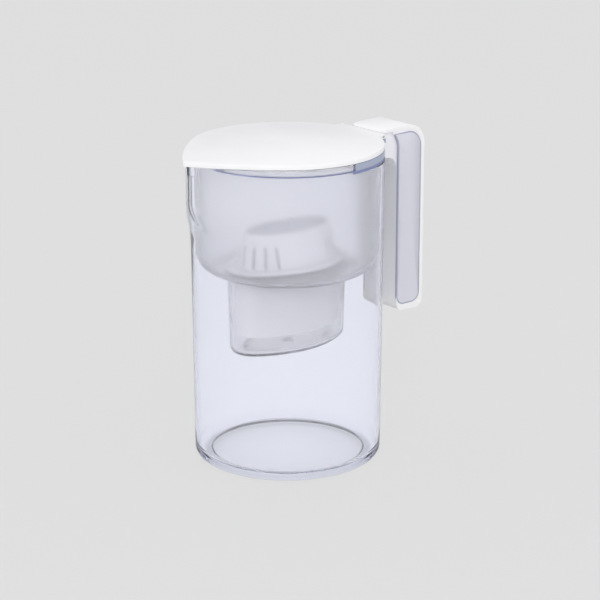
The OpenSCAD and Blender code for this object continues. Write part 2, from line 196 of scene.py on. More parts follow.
@dataclass(frozen=True)
class Finish:
    """A finish that every piece of one plastic, rubber or metal shares.

    Sizes of patterns are given as how many repeats fit in a metre.
    """

    name: str
    slot: str
    colour: Colour
    roughness: float = 0.4
    roughness_spread: float = 0.08
    cloud_scale: float = 40.0
    colour_spread: float = 0.02
    grain_scale: float = 1800.0
    grain_depth: float = 0.00002
    clear: float = 0.0
    ior: float = 1.5
    metal: float = 0.0
    coat: float = 0.0
    depth_colour: Colour = (1.0, 1.0, 1.0)
    depth_density: float = 0.0

    def material(self) -> bpy.types.Material:
        """The material of this finish, made once.

        Returns:
            The node material.
        """
        name = self.name + "_finish"
        if name in bpy.data.materials:
            return bpy.data.materials[name]
        material = bpy.data.materials.new(name)
        material.use_nodes = True
        sheet = NodeSheet(material.node_tree)
        self.dress(sheet, sheet.put("ShaderNodeTexCoord", out="Object"))
        return material

    def dress(self, sheet: NodeSheet, place: Wire) -> None:
        """Fill the sheet with this finish.

        Args:
            sheet: the material's empty tree.
            place: the wire of the object coordinates.
        """
        cloud = self.noise(sheet, place, self.cloud_scale, 3.0)
        grain = self.noise(sheet, place, self.grain_scale, 2.0)
        shade = self.shade(sheet, cloud)
        rough = (cloud - 0.5) * self.roughness_spread + (grain - 0.5) * (self.roughness_spread * 0.5)
        self.finish_surface(sheet, shade, rough + self.roughness, grain)

    def noise(self, sheet: NodeSheet, place: Wire, scale: float, detail: float) -> Wire:
        """A noise value over the surface."""
        values = {"Vector": place, "Scale": scale, "Detail": detail}
        return sheet.put("ShaderNodeTexNoise", {}, values, out="Fac")

    def shade(self, sheet: NodeSheet, cloud: Wire) -> Wire:
        """The base colour, a little darker and lighter along the cloud pattern."""
        shares = (1.0 - self.colour_spread, 1.0 + self.colour_spread)
        return sheet.tint(cloud, *(opaque(tuple(min(1.0, c * s) for c in self.colour)) for s in shares))

    def finish_surface(self, sheet: NodeSheet, shade: Wire, rough: Wire, height: Wire) -> None:
        """Add the shader and the output.

        Args:
            sheet: the material's tree.
            shade: base colour.
            rough: roughness.
            height: height pattern for the bump, from 0 to 1.
        """
        bump = sheet.put(
            "ShaderNodeBump", {}, {"Strength": 1.0, "Distance": self.grain_depth, "Height": height}
        )
        values = {
            "Base Color": shade,
            "Roughness": rough.clamped(),
            "Metallic": self.metal,
            "IOR": self.ior,
            "Transmission Weight": self.clear,
            "Coat Weight": self.coat,
            "Normal": bump,
        }
        ends = {"Surface": sheet.put("ShaderNodeBsdfPrincipled", {}, values)}
        if self.depth_density > 0.0:
            values = {"Color": opaque(self.depth_colour), "Density": self.depth_density}
            ends["Volume"] = sheet.put("ShaderNodeVolumeAbsorption", {}, values)
        sheet.put("ShaderNodeOutputMaterial", {}, ends)


@dataclass(frozen=True)
class BrushedMetal(Finish):
    """A metal with fine lines that run round its own Y axis, given as repeats in a metre along X, Y and Z."""

    lines: Point = (40.0, 6000.0, 40.0)

    def dress(self, sheet: NodeSheet, place: Wire) -> None:
        """Fill the sheet with lines.

        Args:
            sheet: the material's empty tree.
            place: the wire of the object coordinates.
        """
        stretched = sheet.put("ShaderNodeMapping", {}, {"Vector": place, "Scale": self.lines})
        lines = self.noise(sheet, stretched, 1.0, 2.0)
        shade = self.shade(sheet, lines)
        rough = (lines - 0.5) * self.roughness_spread + self.roughness
        self.finish_surface(sheet, shade, rough, lines)


@dataclass(frozen=True)
class Grains(Finish):
    """Loose grains, each with a colour between the first and the second. Their size is in metres."""

    grain_size: float = 0.0016
    second: Colour = (0.1, 0.1, 0.1)

    def dress(self, sheet: NodeSheet, place: Wire) -> None:
        """Fill the sheet with a cell pattern the size of the grains.

        Args:
            sheet: the material's empty tree.
            place: the wire of the object coordinates.
        """
        values = {"Vector": place, "Scale": 1.0 / self.grain_size}
        cells = sheet.put("ShaderNodeTexVoronoi", {}, values, out="Color")
        pick = sheet.put("ShaderNodeSeparateColor", {}, {"Color": cells}, out="Red")
        shade = sheet.tint(pick, opaque(self.colour), opaque(self.second))
        fine = self.noise(sheet, place, self.grain_scale, 2.0)
        self.finish_surface(sheet, shade, (fine - 0.5) * self.roughness_spread + self.roughness, fine)


CLEAR = Finish(
    "clear_plastic", "clear_plastic", (0.994, 0.994, 0.998), roughness=0.01, roughness_spread=0.01,
    colour_spread=0.002, grain_scale=60.0, grain_depth=0.000001, clear=0.97, ior=1.16,
    depth_colour=(0.30, 0.34, 0.62), depth_density=15.0,
)
FROSTED = Finish(
    "frosted_plastic", "frosted_plastic", (0.985, 0.985, 0.992), roughness=0.20, roughness_spread=0.03,
    colour_spread=0.006, grain_scale=900.0, clear=0.91, ior=1.36,
    depth_colour=(0.30, 0.32, 0.55), depth_density=15.0,
)
WHITE = Finish("white_plastic", "white_plastic", (0.90, 0.90, 0.895), roughness=0.38)
HANDLE = Finish("handle_plastic", "handle_plastic", (0.92, 0.92, 0.95), roughness=0.35, coat=0.2)
# Darker copy of the handle plastic: painted shade for the shaded channel seen through the clear core, over
# the core's own lavender tone.
HANDLE_SHADED_PANEL = Finish("handle_panel", "handle_plastic", (0.68, 0.685, 0.75), roughness=0.32, coat=0.2)
# Dark copy of the handle plastic for the line round each panel: painted shade of the gap and of the edges
# seen end-on.
HANDLE_SHADE_LINE = Finish("handle_line", "handle_plastic", (0.40, 0.40, 0.51), roughness=0.35)
# Dark blue-grey for the hinge block: painted shade and dark refraction under the lid's rear.
HINGE_SHADE = Finish("tinted_plastic", "tinted_plastic", (0.37, 0.41, 0.52), roughness=0.3)
DARK_SEAL = Finish("dark_seal", "dark_seal", (0.21, 0.24, 0.43), roughness=0.45, grain_scale=900.0)
PALE_SEAL = Finish("pale_seal", "pale_seal", (0.55, 0.57, 0.62), roughness=0.5)
CARTRIDGE = Finish("cartridge_plastic", "cartridge_plastic", (0.85, 0.85, 0.90), roughness=0.45)
# Darker copy of the cartridge plastic: painted shade for the hood under the lid and the funnel.
HOOD_SHADED = Finish("hood_plastic", "cartridge_plastic", (0.73, 0.73, 0.785), roughness=0.45)
# Darker blue-grey copy of the cartridge plastic: painted shade for the hood's dish under the lid.
DISH_SHADE = Finish("dish_plastic", "cartridge_plastic", (0.66, 0.68, 0.78), roughness=0.5)
# Darker copy of the screen material: painted shade seen inside the hood's slots.
SLOT_SHADE_LINING = Finish("slot_lining", "screen_mesh", (0.46, 0.46, 0.52), roughness=0.7)
SCREEN = Finish("screen_mesh", "screen_mesh", (0.80, 0.80, 0.82), roughness=0.7)
STEEL = BrushedMetal("steel", "steel", (0.60, 0.61, 0.63), roughness=0.3, metal=1.0)
CARBON = Grains("carbon", "carbon", (0.012, 0.012, 0.014), roughness=0.6, second=(0.035, 0.035, 0.04))
RESIN = Grains(
    "resin", "resin", (0.55, 0.38, 0.15), roughness=0.3, grain_size=0.0011, second=(0.72, 0.58, 0.32)
)


# ---- mesh making


def add_object(name: str, data: bpy.types.ID) -> bpy.types.Object:
    """Put a new object with the given data in the scene.

    Args:
        name: the object's name.
        data: its mesh, camera or lamp data.

    Returns:
        The object.
    """
    made = bpy.data.objects.new(name, data)
    bpy.context.scene.collection.objects.link(made)
    return made


def blend_low(first: float, second: float, width: float) -> float:
    """The smaller of two values, rounded over where they meet within width."""
    share = max(width - abs(first - second), 0.0) / width
    return min(first, second) - share * share * width / 4.0


def blend_high(first: float, second: float, width: float) -> float:
    """The larger of two values, rounded over where they meet within width."""
    return -blend_low(-first, -second, width)


def spread(first: float, last: float, steps: int) -> list[float]:
    """Values from the first to the last in even steps, both included."""
    return [first + (last - first) * i / steps for i in range(steps + 1)]


def even_angles(count: int) -> list[float]:
    """Angles all round, in radians."""
    return [math.tau * i / count for i in range(count)]


def columns(step: float, splits: Sequence[Spot], more: Sequence[float] = ()) -> list[float]:
    """Angles all round, with a close pair wherever a rim has a step.

    Args:
        step: degrees from one column to the next.
        splits: middle and half width in degrees of each stretch that ends in a step.
        more: further angles in degrees.

    Returns:
        The angles in radians, in order.
    """
    found = {step * i for i in range(round(360 / step))} | set(more)
    for middle, half in splits:
        found |= {(middle + s * (half + d)) % 360.0 for s in (-1, 1) for d in (-STEP_GAP, STEP_GAP)}
    return [math.radians(a) for a in sorted(found)]


def arc(
    x: float, z: float, r: float, first: float, last: float, steps: int = 8, wide: float = 1.0
) -> list[Spot]:
    """Points on an arc.

    Args:
        x: first coordinate of its centre.
        z: second coordinate of its centre.
        r: its radius.
        first: first angle in degrees.
        last: last angle in degrees.
        steps: number of pieces.
        wide: its width along the first coordinate, as a share of its height.

    Returns:
        The points, both ends included.
    """
    turns = [math.radians(t) for t in spread(first, last, steps)]
    return [(x + r * wide * math.cos(t), z + r * math.sin(t)) for t in turns]


def oval_point(half_len: float, half_wid: float, turn: float) -> Spot:
    """A point on an oval of four arcs, or on a circle where both halves are equal.

    Args:
        half_len: half length along X.
        half_wid: half width along Y.
        turn: place round the oval, in radians.

    Returns:
        The point's X and Y.
    """
    if abs(half_len - half_wid) < 1e-6:
        return half_len * math.cos(turn), half_len * math.sin(turn)
    angle = math.atan2(half_wid * abs(math.sin(turn)), half_len * abs(math.cos(turn)))
    end_r = OVAL_END * half_wid * half_wid / half_len
    centre = half_len - end_r
    side_r = (centre**2 + half_wid**2 - end_r**2) / (2 * (half_wid - end_r))
    drop = side_r - half_wid
    share = side_r / (side_r - end_r)
    joint = math.atan2(drop * share - drop, centre * share)
    cos_a, sin_a = math.cos(angle), math.sin(angle)
    if angle < joint:
        reach = centre * cos_a + math.sqrt(max(0.0, end_r**2 - (centre * sin_a) ** 2))
    else:
        reach = -drop * sin_a + math.sqrt(max(0.0, side_r**2 - (drop * cos_a) ** 2))
    return math.copysign(reach * cos_a, math.cos(turn)), math.copysign(reach * sin_a, math.sin(turn))


def oval_ring(half_len: float, half_wid: float, height: float, turns: Sequence[float]) -> Ring:
    """A level ring of points on an oval or a circle."""
    return [(*oval_point(half_len, half_wid, t), height) for t in turns]


@contextmanager
def reworked(source: Mesh, target: Mesh) -> Iterator[bmesh.types.BMesh]:
    """Lend out a mesh for editing, and keep the result.

    Args:
        source: the mesh to start from.
        target: the mesh that takes the result, which may be the same one.

    Yields:
        The mesh to edit.
    """
    work = bmesh.new()
    work.from_mesh(source)
    yield work
    work.to_mesh(target)
    work.free()


def skin(name: str, rings: Sequence[Ring], closed: bool = False) -> Mesh:
    """Stretch quads over rings that hold the same number of points.

    Args:
        name: the mesh's name.
        rings: rings in millimetres, in order along the surface.
        closed: True where the last ring joins the first.

    Returns:
        The mesh in metres, merged, with its faces pointing outwards.
    """
    count, gap = len(rings[0]), 2e-6
    faces = []
    for row in range(len(rings) if closed else len(rings) - 1):
        low, high = row * count, (row + 1) % len(rings) * count
        for i in range(count):
            j = (i + 1) % count
            faces.append((low + i, low + j, high + j, high + i))
    mesh = bpy.data.meshes.new(name)
    mesh.from_pydata([Vector(p) * MM for ring in rings for p in ring], [], faces)
    with reworked(mesh, mesh) as work:
        bmesh.ops.remove_doubles(work, verts=work.verts, dist=gap)
        bmesh.ops.dissolve_degenerate(work, edges=work.edges, dist=gap)
        bmesh.ops.recalc_face_normals(work, faces=work.faces)
    return mesh


def edge_path(name: str, points: Sequence[Point], closed: bool) -> Mesh:
    """A line of edges that a profile can follow.

    Args:
        name: the mesh's name.
        points: its points in millimetres.
        closed: True where the last point joins the first.

    Returns:
        The mesh in metres.
    """
    count = len(points)
    edges = [(i, (i + 1) % count) for i in range(count if closed else count - 1)]
    mesh = bpy.data.meshes.new(name)
    mesh.from_pydata([Vector(p) * MM for p in points], edges, [])
    return mesh


def merged_copy(node: str) -> Mesh:
    """A copy of a CAD node's mesh with its loose triangles merged.

    Args:
        node: the node's name.

    Returns:
        The new mesh in metres.
    """
    mesh = bpy.data.meshes.new(node + "_copy")
    with reworked(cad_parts[node].data, mesh) as work:
        bmesh.ops.remove_doubles(work, verts=work.verts, dist=1e-6)
        bmesh.ops.dissolve_limit(work, angle_limit=math.radians(1.0), verts=work.verts, edges=work.edges)
    return mesh


def softened(mesh: Mesh, width: float, segments: int = 2) -> Mesh:
    """The mesh with its edges rounded.

    Args:
        mesh: a merged mesh.
        width: width of the rounding in millimetres.
        segments: faces across the rounding.

    Returns:
        The new mesh in metres.
    """
    shape = add_object(mesh.name + "_soft", mesh)
    bevel = shape.modifiers.new("edges", "BEVEL")
    bevel.width = width * MM
    bevel.segments = segments
    bevel.limit_method = "ANGLE"
    bevel.angle_limit = math.radians(40.0)
    return baked(shape)


def level_cut(mesh: Mesh, height: float, above: bool) -> Mesh:
    """The part of a closed mesh on one side of a level plane, closed again.

    Args:
        mesh: the mesh, in metres.
        height: height of the plane in millimetres.
        above: True to keep what is above the plane.

    Returns:
        The new mesh.
    """
    part = bpy.data.meshes.new(mesh.name + "_part")
    with reworked(mesh, part) as work:
        cut = bmesh.ops.bisect_plane(
            work, geom=work.verts[:] + work.edges[:] + work.faces[:], dist=1e-7,
            plane_co=(0, 0, height * MM), plane_no=(0, 0, 1), clear_inner=above, clear_outer=not above,
        )
        rim = [item for item in cut["geom_cut"] if isinstance(item, bmesh.types.BMEdge)]
        bmesh.ops.holes_fill(work, edges=rim)
        bmesh.ops.recalc_face_normals(work, faces=work.faces)
    return part


def baked(shape: bpy.types.Object) -> Mesh:
    """Work an object's modifiers into a mesh, and remove the object.

    Args:
        shape: the object.

    Returns:
        The plain mesh.
    """
    bpy.context.view_layer.update()
    graph = bpy.context.evaluated_depsgraph_get()
    mesh = bpy.data.meshes.new_from_object(shape.evaluated_get(graph), depsgraph=graph)
    shape.modifiers.clear()
    bpy.data.objects.remove(shape)
    return mesh


# ---- growers


class Profile(Enum):
    """The section that follows a path."""

    FLAT = "flat strip with rounded corners"
    ROUND = "round bead"


class Grower(NodeSheet):
    """A geometry node tree with named inputs, used on one base mesh at a time."""

    def __init__(self, name: str) -> None:
        """Start a tree with its geometry going in and out.

        Args:
            name: the tree's name.
        """
        tree = bpy.data.node_groups.new(name, "GeometryNodeTree")
        super().__init__(tree)
        for way in ("INPUT", "OUTPUT"):
            tree.interface.new_socket("Geometry", in_out=way, socket_type="NodeSocketGeometry")
        self.entry = self.put("NodeGroupInput").socket.node

    @property
    def base(self) -> Wire:
        """The geometry that comes in."""
        return Wire(self, self.entry.outputs["Geometry"])

    def asked(self, *names: str, kind: str = "NodeSocketFloat") -> list[Wire]:
        """Add named inputs.

        Args:
            *names: their names.
            kind: their socket type.

        Returns:
            Their wires.
        """
        for name in names:
            self.tree.interface.new_socket(name, in_out="INPUT", socket_type=kind)
        return [Wire(self, self.entry.outputs[name]) for name in names]

    def vector(self, x: "Wire | float" = 0.0, y: "Wire | float" = 0.0, z: "Wire | float" = 0.0) -> Wire:
        """A vector of three values."""
        return self.put("ShaderNodeCombineXYZ", {}, {"X": x, "Y": y, "Z": z})

    def random(self, low: Point, high: Point, seed: Wire) -> Wire:
        """A random vector between two corners for each point."""
        values = {0: low, 1: high, "ID": 0, "Seed": seed}
        return self.put("FunctionNodeRandomValue", {"data_type": "FLOAT_VECTOR"}, values)

    def strip(self, width: Wire, height: Wire, corner: Wire, count: int) -> Wire:
        """The outline of a flat strip with rounded corners.

        Args:
            width: its width.
            height: its height.
            corner: radius of its corners.
            count: steps round each corner.

        Returns:
            The outline.
        """
        section = self.put("GeometryNodeCurvePrimitiveQuadrilateral", {}, {"Width": width, "Height": height})
        values = {"Curve": section, "Count": count, "Radius": corner}
        return self.put("GeometryNodeFilletCurve", {"mode": "POLY"}, values)

    def placed(self, points: Wire, thing: Wire, **more: Wire) -> Wire:
        """The thing repeated on every point."""
        return self.put("GeometryNodeInstanceOnPoints", {}, {"Points": points, "Instance": thing, **more})

    def drawn(self, path: Wire, section: Wire) -> Wire:
        """The solid that a section leaves along a path."""
        values = {"Curve": path, "Profile Curve": section, "Fill Caps": True}
        return self.put("GeometryNodeCurveToMesh", {}, values)

    def close(self, geometry: Wire, finish: Finish) -> None:
        """End the tree.

        Args:
            geometry: what the tree made.
            finish: the finish of all of it.
        """
        real = self.put("GeometryNodeRealizeInstances", {}, {0: geometry})
        dressed = self.put("GeometryNodeSetMaterial", {}, {"Geometry": real, "Material": finish.material()})
        self.put("NodeGroupOutput", {}, {"Geometry": dressed})

    def grow(self, base: Mesh, **values: object) -> Mesh:
        """Run the tree on a base mesh.

        Args:
            base: the mesh that goes in.
            **values: the named inputs, with _ for a space.

        Returns:
            The plain mesh that comes out.
        """
        shape = add_object(base.name + "_base", base)
        modifier = shape.modifiers.new("grow", "NODES")
        modifier.node_group = self.tree
        for item in self.tree.interface.items_tree:
            if item.in_out == "INPUT" and item.name.replace(" ", "_") in values:
                modifier[item.identifier] = values[item.name.replace(" ", "_")]
        mesh = baked(shape)
        LOG.info("%s grew %d faces", self.tree.name, len(mesh.polygons))
        return mesh


def sweep_tree(profile: Profile, finish: Finish) -> Grower:
    """A tree that draws a profile along the base mesh's edges.

    Args:
        profile: the section.
        finish: its finish.

    Returns:
        The grower. Its inputs are Width, Height and Corner in metres; a round bead has its Width across.
    """
    grower = Grower("sweep_" + profile.name.lower() + "_" + finish.name)
    (width,) = grower.asked("Width")
    path = grower.put("GeometryNodeMeshToCurve", {}, {0: grower.base})
    if profile is Profile.FLAT:
        height, corner = grower.asked("Height", "Corner")
        path = grower.put("GeometryNodeSetCurveNormal", {"mode": "Z_UP"}, {0: path})
        section = grower.strip(width, height, corner, 2)
    else:
        values = {"Resolution": 10, "Radius": width * 0.5}
        section = grower.put("GeometryNodeCurvePrimitiveCircle", {}, values)
    grower.close(grower.drawn(path, section), finish)
    return grower


def scatter_tree(finish: Finish) -> Grower:
    """A tree that lays grains on the base mesh's faces and keeps the base under them.

    Args:
        finish: the grains' finish.

    Returns:
        The grower. Its inputs are Density per square metre, Size in metres and Seed.
    """
    turn, least = 6.28, (0.7, 0.6, 0.55)
    grower = Grower("scatter_" + finish.name)
    density, size = grower.asked("Density", "Size")
    (seed,) = grower.asked("Seed", kind="NodeSocketInt")
    values = {"Mesh": grower.base, "Density": density, "Seed": seed}
    points = grower.put("GeometryNodeDistributePointsOnFaces", {}, values)
    grain = grower.put("GeometryNodeMeshIcoSphere", {}, {"Radius": size * 0.5, "Subdivisions": 1})
    spin = grower.random((0.0, 0.0, 0.0), (turn, turn, turn), seed)
    swell = grower.random(least, (1.0, 1.0, 1.0), seed)
    grains = grower.placed(points, grain, Rotation=spin, Scale=swell)
    grower.close(grower.put("GeometryNodeJoinGeometry", {}, {0: [grains, grower.base]}), finish)
    return grower


def screen_tree(finish: Finish) -> Grower:
    """A tree that crosses two layers of strands inside an oval.

    Args:
        finish: the strands' finish.

    Returns:
        The grower. Its inputs, in metres, are Half Length, Half Width, Pitch, Strand and Level. The base mesh
        is the frame round the screen and is kept.
    """
    grower = Grower("screen_" + finish.name)
    half_length, half_width = grower.asked("Half Length", "Half Width")
    pitch, strand, level = grower.asked("Pitch", "Strand", "Level")
    layers = [grower.base]
    for lengthwise in (False, True):
        along, across = (half_length, half_width) if lengthwise else (half_width, half_length)
        axis = "y" if lengthwise else "x"
        count = grower.sum_up("FLOOR", across / pitch)
        values = {
            "Count": count * 2.0 + 1.0,
            "Start Location": grower.vector(**{axis: 0.0 - count * pitch}),
            "Offset": grower.vector(**{axis: pitch}),
        }
        line = grower.put("GeometryNodeMeshLine", {"mode": "OFFSET", "count_mode": "TOTAL"}, values)
        place = grower.put("GeometryNodeInputPosition")
        share = grower.put("ShaderNodeSeparateXYZ", {}, {0: place}, out=axis.upper()) / across
        reach = grower.sum_up("SQRT", (1.0 - share * share).clamped()) * along * 2.0
        bar = grower.put("GeometryNodeMeshCube", {}, {"Size": (1.0, 1.0, 1.0)})
        scale = grower.vector(reach, strand, strand) if lengthwise else grower.vector(strand, reach, strand)
        bars = grower.placed(line, bar, Scale=scale)
        lift = grower.vector(z=level + strand * (0.5 if lengthwise else -0.5))
        layers.append(grower.put("GeometryNodeSetPosition", {}, {"Geometry": bars, "Offset": lift}))
    grower.close(grower.put("GeometryNodeJoinGeometry", {}, {0: layers}), finish)
    return grower


def slot_tree(finish: Finish) -> Grower:
    """A tree that cuts upright slots into the base mesh round both ends of an oval.

    Args:
        finish: the finish of the slotted piece.

    Returns:
        The grower. Its inputs are Count at each end, Step in radians, and End Centre, End Radius, Width, Low
        and High in metres.
    """
    reach, corner_share = 0.008, 0.49
    grower = Grower("slots_" + finish.name)
    (count,) = grower.asked("Count", kind="NodeSocketInt")
    step, centre, radius = grower.asked("Step", "End Centre", "End Radius")
    width, low, high = grower.asked("Width", "Low", "High")
    section = grower.strip(width, high - low, width * corner_share, 5)
    values = {"Start": grower.vector(-reach), "End": grower.vector(reach)}
    run = grower.put("GeometryNodeCurvePrimitiveLine", {}, values)
    run = grower.put("GeometryNodeSetCurveNormal", {"mode": "Z_UP"}, {0: run})
    points = grower.put("GeometryNodePoints", {}, {"Count": count * 2, "Position": grower.vector()})
    index = grower.put("GeometryNodeInputIndex")
    end = grower.sum_up("GREATER_THAN", index, count - 0.5)
    heading = (index - end * count - (count - 1.0) * 0.5) * step + end * math.pi
    along = (1.0 - end * 2.0) * centre + grower.sum_up("COSINE", heading) * radius
    spot = grower.vector(along, grower.sum_up("SINE", heading) * radius, (low + high) * 0.5)
    points = grower.put("GeometryNodeSetPosition", {}, {"Geometry": points, "Position": spot})
    cutters = grower.placed(points, grower.drawn(run, section), Rotation=grower.vector(z=heading))
    real = grower.put("GeometryNodeRealizeInstances", {}, {0: cutters})
    settings = {"operation": "DIFFERENCE", "solver": "EXACT"}
    grower.close(grower.put("GeometryNodeMeshBoolean", settings, {0: grower.base, 1: real}), finish)
    return grower


def set_piece(
    name: str, mesh: Mesh, body: str, finish: Finish, nodes: Sequence[str] = (), sharp: float = 32.0
) -> None:
    """Make a mesh a piece of the part.

    Args:
        name: the piece's name.
        mesh: its mesh, in place, in metres.
        body: the body that it rides on.
        finish: its finish.
        nodes: the CAD nodes that it stands for.
        sharp: the angle in degrees past which an edge stays sharp.
    """
    piece = add_object(name, mesh)
    mesh.materials.clear()
    mesh.materials.append(finish.material())
    mesh.polygons.foreach_set("use_smooth", [True] * len(mesh.polygons))
    mesh.set_sharp_from_angle(angle=math.radians(sharp))
    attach(piece, body)
    if nodes:
        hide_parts(*nodes)
    LOG.info("%s on %s, %d faces", name, body, len(mesh.polygons))


def soften_node(name: str, node: str, body: str, finish: Finish, edge: float, segments: int = 2) -> None:
    """Put a copy of a CAD node with rounded edges in its place.

    Args:
        name: the new piece's name.
        node: the node's name.
        body: the body that the piece rides on.
        finish: its finish.
        edge: width of the rounding in millimetres.
        segments: faces across the rounding.
    """
    set_piece(name, softened(merged_copy(node), edge, segments), body, finish, [node])


def dress_node(node: str, finish: Finish) -> None:
    """Give a CAD node its finish.

    Args:
        node: the node's name.
        finish: its finish.
    """
    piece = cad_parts[node]
    piece.data.materials.clear()
    piece.data.materials.append(finish.material())
    LOG.info("%s dressed", node)


# ---- jug and handle


@dataclass
class Jug:
    """The clear jug: a lathed shell that is drawn out into a pointed spout."""

    rim_r: float = 70.0
    foot_r: float = 68.3
    wall: float = 2.5
    rim_z: float = 224.2
    rear_rim_z: float = 222.6
    foot_round: float = 7.0
    inner_round: float = 5.0
    floor_z: float = 6.0
    floor_mid_r: float = 30.0
    hollow_r: float = 56.0
    hollow_z: float = 3.0
    hollow_round: float = 1.3
    plain_levels: tuple[float, ...] = (45.0, 90.0, 130.0)
    outer_low_z: float = 15.0
    outer_fine_z: float = 150.0
    inner_low_z: float = 18.0
    inner_fine_z: float = 151.94
    wall_steps: int = 48
    column_step: float = 0.75
    spout_steps: tuple[tuple[float, int], ...] = ((0.5, 17), (0.25, 9))
    spout_half: float = math.radians(50.5)
    spout_r: float = 69.2
    spout_bow: float = 110.0
    spout_wall: float = 1.1
    spout_low_z: float = 155.0
    spout_top_z: float = 229.2
    side_fall: float = 0.6
    tip_r: float = 4.5
    belly_curve: float = 0.0125
    belly_sink: float = 0.8
    belly_inset: float = 1.4
    belly_lift: float = 1.5
    outer_blends: Spot = (9.0, 3.0)
    inner_blends: Spot = (8.0, 2.6)
    notch_z: float = 222.7
    upstand_r: float = 70.2
    edge: float = 0.7
    rim_split: float = 2.2
    shelf_gap: float = 0.3
    shelf_step: float = 0.06
    shelf_lift: float = 0.01
    notch_half: float = math.radians(3.35)
    upstand_half: float = math.radians(31.9)
    rear_half: float = math.radians(88.4)

    def angles(self) -> list[float]:
        """Angles of the columns, close together round the spout and at the steps of the rim.

        Returns:
            The angles in radians, in order.
        """
        offs = [i * step for step, count in self.spout_steps for i in range(count)]
        halves = ((180.0, self.notch_half), (180.0, self.upstand_half), (0.0, self.rear_half))
        splits = [(mid, math.degrees(half)) for mid, half in halves]
        return columns(self.column_step, splits, [180.0 + s * off for off in offs for s in (-1, 1)])

    def off_spout(self, angle: float) -> float:
        """Angle away from the spout's middle, from 0 to a half turn."""
        return abs((angle % math.tau) - math.pi)

    def spout_plan(self, off: float, inset: float) -> float:
        """Reach of the spout's plan.

        Args:
            off: angle away from the spout's middle.
            inset: how far the plan is set in from the outer one.

        Returns:
            The distance from the jug's axis. It falls away where the sides have left the circle.
        """
        bow, radius, tip = self.spout_bow, self.spout_r - inset, self.tip_r - inset
        if off > self.spout_half:
            return radius - math.degrees(off - self.spout_half) * self.side_fall
        side, turn = bow + radius, self.spout_half - off
        cx, cy = bow * math.cos(self.spout_half), bow * math.sin(self.spout_half)
        centre = math.sqrt((side - tip) ** 2 - cy * cy) - cx
        share = side / (side - tip)
        touch = math.atan2(cy * share - cy, (centre + cx) * share - cx)
        if off < touch:
            return centre * math.cos(off) + math.sqrt(tip * tip - (centre * math.sin(off)) ** 2)
        return math.sqrt(side**2 - (bow * math.sin(turn)) ** 2) - bow * math.cos(turn)

    def belly_reach(self, rise: float) -> float:
        """Radius of the spout's belly at a height above its lower end."""
        return self.rim_r - self.belly_sink + self.belly_curve * rise * abs(rise)

    def outer(self, angle: float, z: float) -> float:
        """Outer radius of the jug.

        Args:
            angle: the angle of the column.
            z: the height.

        Returns:
            The radius.
        """
        share = (z - self.foot_round) / (self.rim_z - self.foot_round)
        wall = self.foot_r + (self.rim_r - self.foot_r) * share
        plan, (tight, wide) = self.spout_plan(self.off_spout(angle), 0.0), self.outer_blends
        return blend_high(wall, blend_low(plan, self.belly_reach(z - self.spout_low_z), tight), wide)

    def inner(self, angle: float, z: float) -> float:
        """Inner radius of the jug.

        Args:
            angle: the angle of the column.
            z: the height.

        Returns:
            The radius.
        """
        plan = self.spout_plan(self.off_spout(angle), self.spout_wall)
        if z > self.rim_z + 1e-6:
            return max(self.upstand_r, plan)
        low = self.floor_z + self.inner_round
        wall = self.foot_r - self.wall + (self.rim_r - self.foot_r) * (z - low) / (self.rim_z - low)
        belly = self.belly_reach(z - self.spout_low_z - self.belly_lift) - self.belly_inset
        tight, wide = self.inner_blends
        return blend_high(wall, blend_low(plan, belly, tight), wide)

    def top(self, angle: float) -> float:
        """Height of the rim.

        Args:
            angle: the angle of the column.

        Returns:
            The height.
        """
        off = self.off_spout(angle)
        if off < self.notch_half:
            return self.notch_z
        if off < self.upstand_half:
            return self.spout_top_z
        return self.rear_rim_z if math.pi - off < self.rear_half else self.rim_z

    def column(self, angle: float) -> list[Spot]:
        """One column of the shell, from under the foot up, over the rim and down to the inner floor.

        Args:
            angle: the angle of the column.

        Returns:
            Radius and height of its points.
        """
        turn, foot, inner, edge = self.hollow_round, self.foot_round, self.inner_round, self.edge
        top = self.top(angle)
        low = top - edge
        line = [(0.0, self.hollow_z), (self.floor_mid_r, self.hollow_z)]
        line += arc(self.hollow_r - turn, self.hollow_z - turn, turn, 90.0, 0.0, 7)
        line += arc(self.hollow_r + turn, turn, turn, 180.0, 270.0, 5)
        line += arc(self.foot_r - foot, foot, foot, 270.0, 360.0, 9)
        levels = [self.outer_low_z, *self.plain_levels, *spread(self.outer_fine_z, low, self.wall_steps)]
        line += [(self.outer(angle, z), z) for z in levels]
        out_r, in_r = self.outer(angle, top), self.inner(angle, top)
        round_r = min(edge, (out_r - in_r) / self.rim_split)
        line += arc(out_r - round_r, low, edge, 0.0, 90.0, 3, round_r / edge)
        line += arc(in_r + round_r, low, edge, 90.0, 180.0, 3, round_r / edge)
        shelf = min(low - self.shelf_gap, self.rim_z)
        line += [(self.inner(angle, z + self.shelf_lift), z) for z in ((low + shelf) / 2, shelf)]
        levels = spread(shelf - self.shelf_step, self.inner_fine_z, self.wall_steps)
        levels += [*reversed(self.plain_levels), self.inner_low_z]
        line += [(self.inner(angle, z), z) for z in levels]
        line += arc(self.foot_r - self.wall - inner, self.floor_z + inner, inner, 360.0, 270.0, 7)
        return line + [(self.floor_mid_r, self.floor_z), (0.0, self.floor_z)]

    def build(self) -> None:
        """Build the jug's shell."""
        angles = self.angles()
        rings = [
            [(r * math.cos(a), r * math.sin(a), z) for a, (r, z) in zip(angles, level)]
            for level in zip(*(self.column(a) for a in angles))
        ]
        set_piece("jug_shell", skin("jug_shell", rings), "jug", CLEAR, ["jug_body"], sharp=38.0)


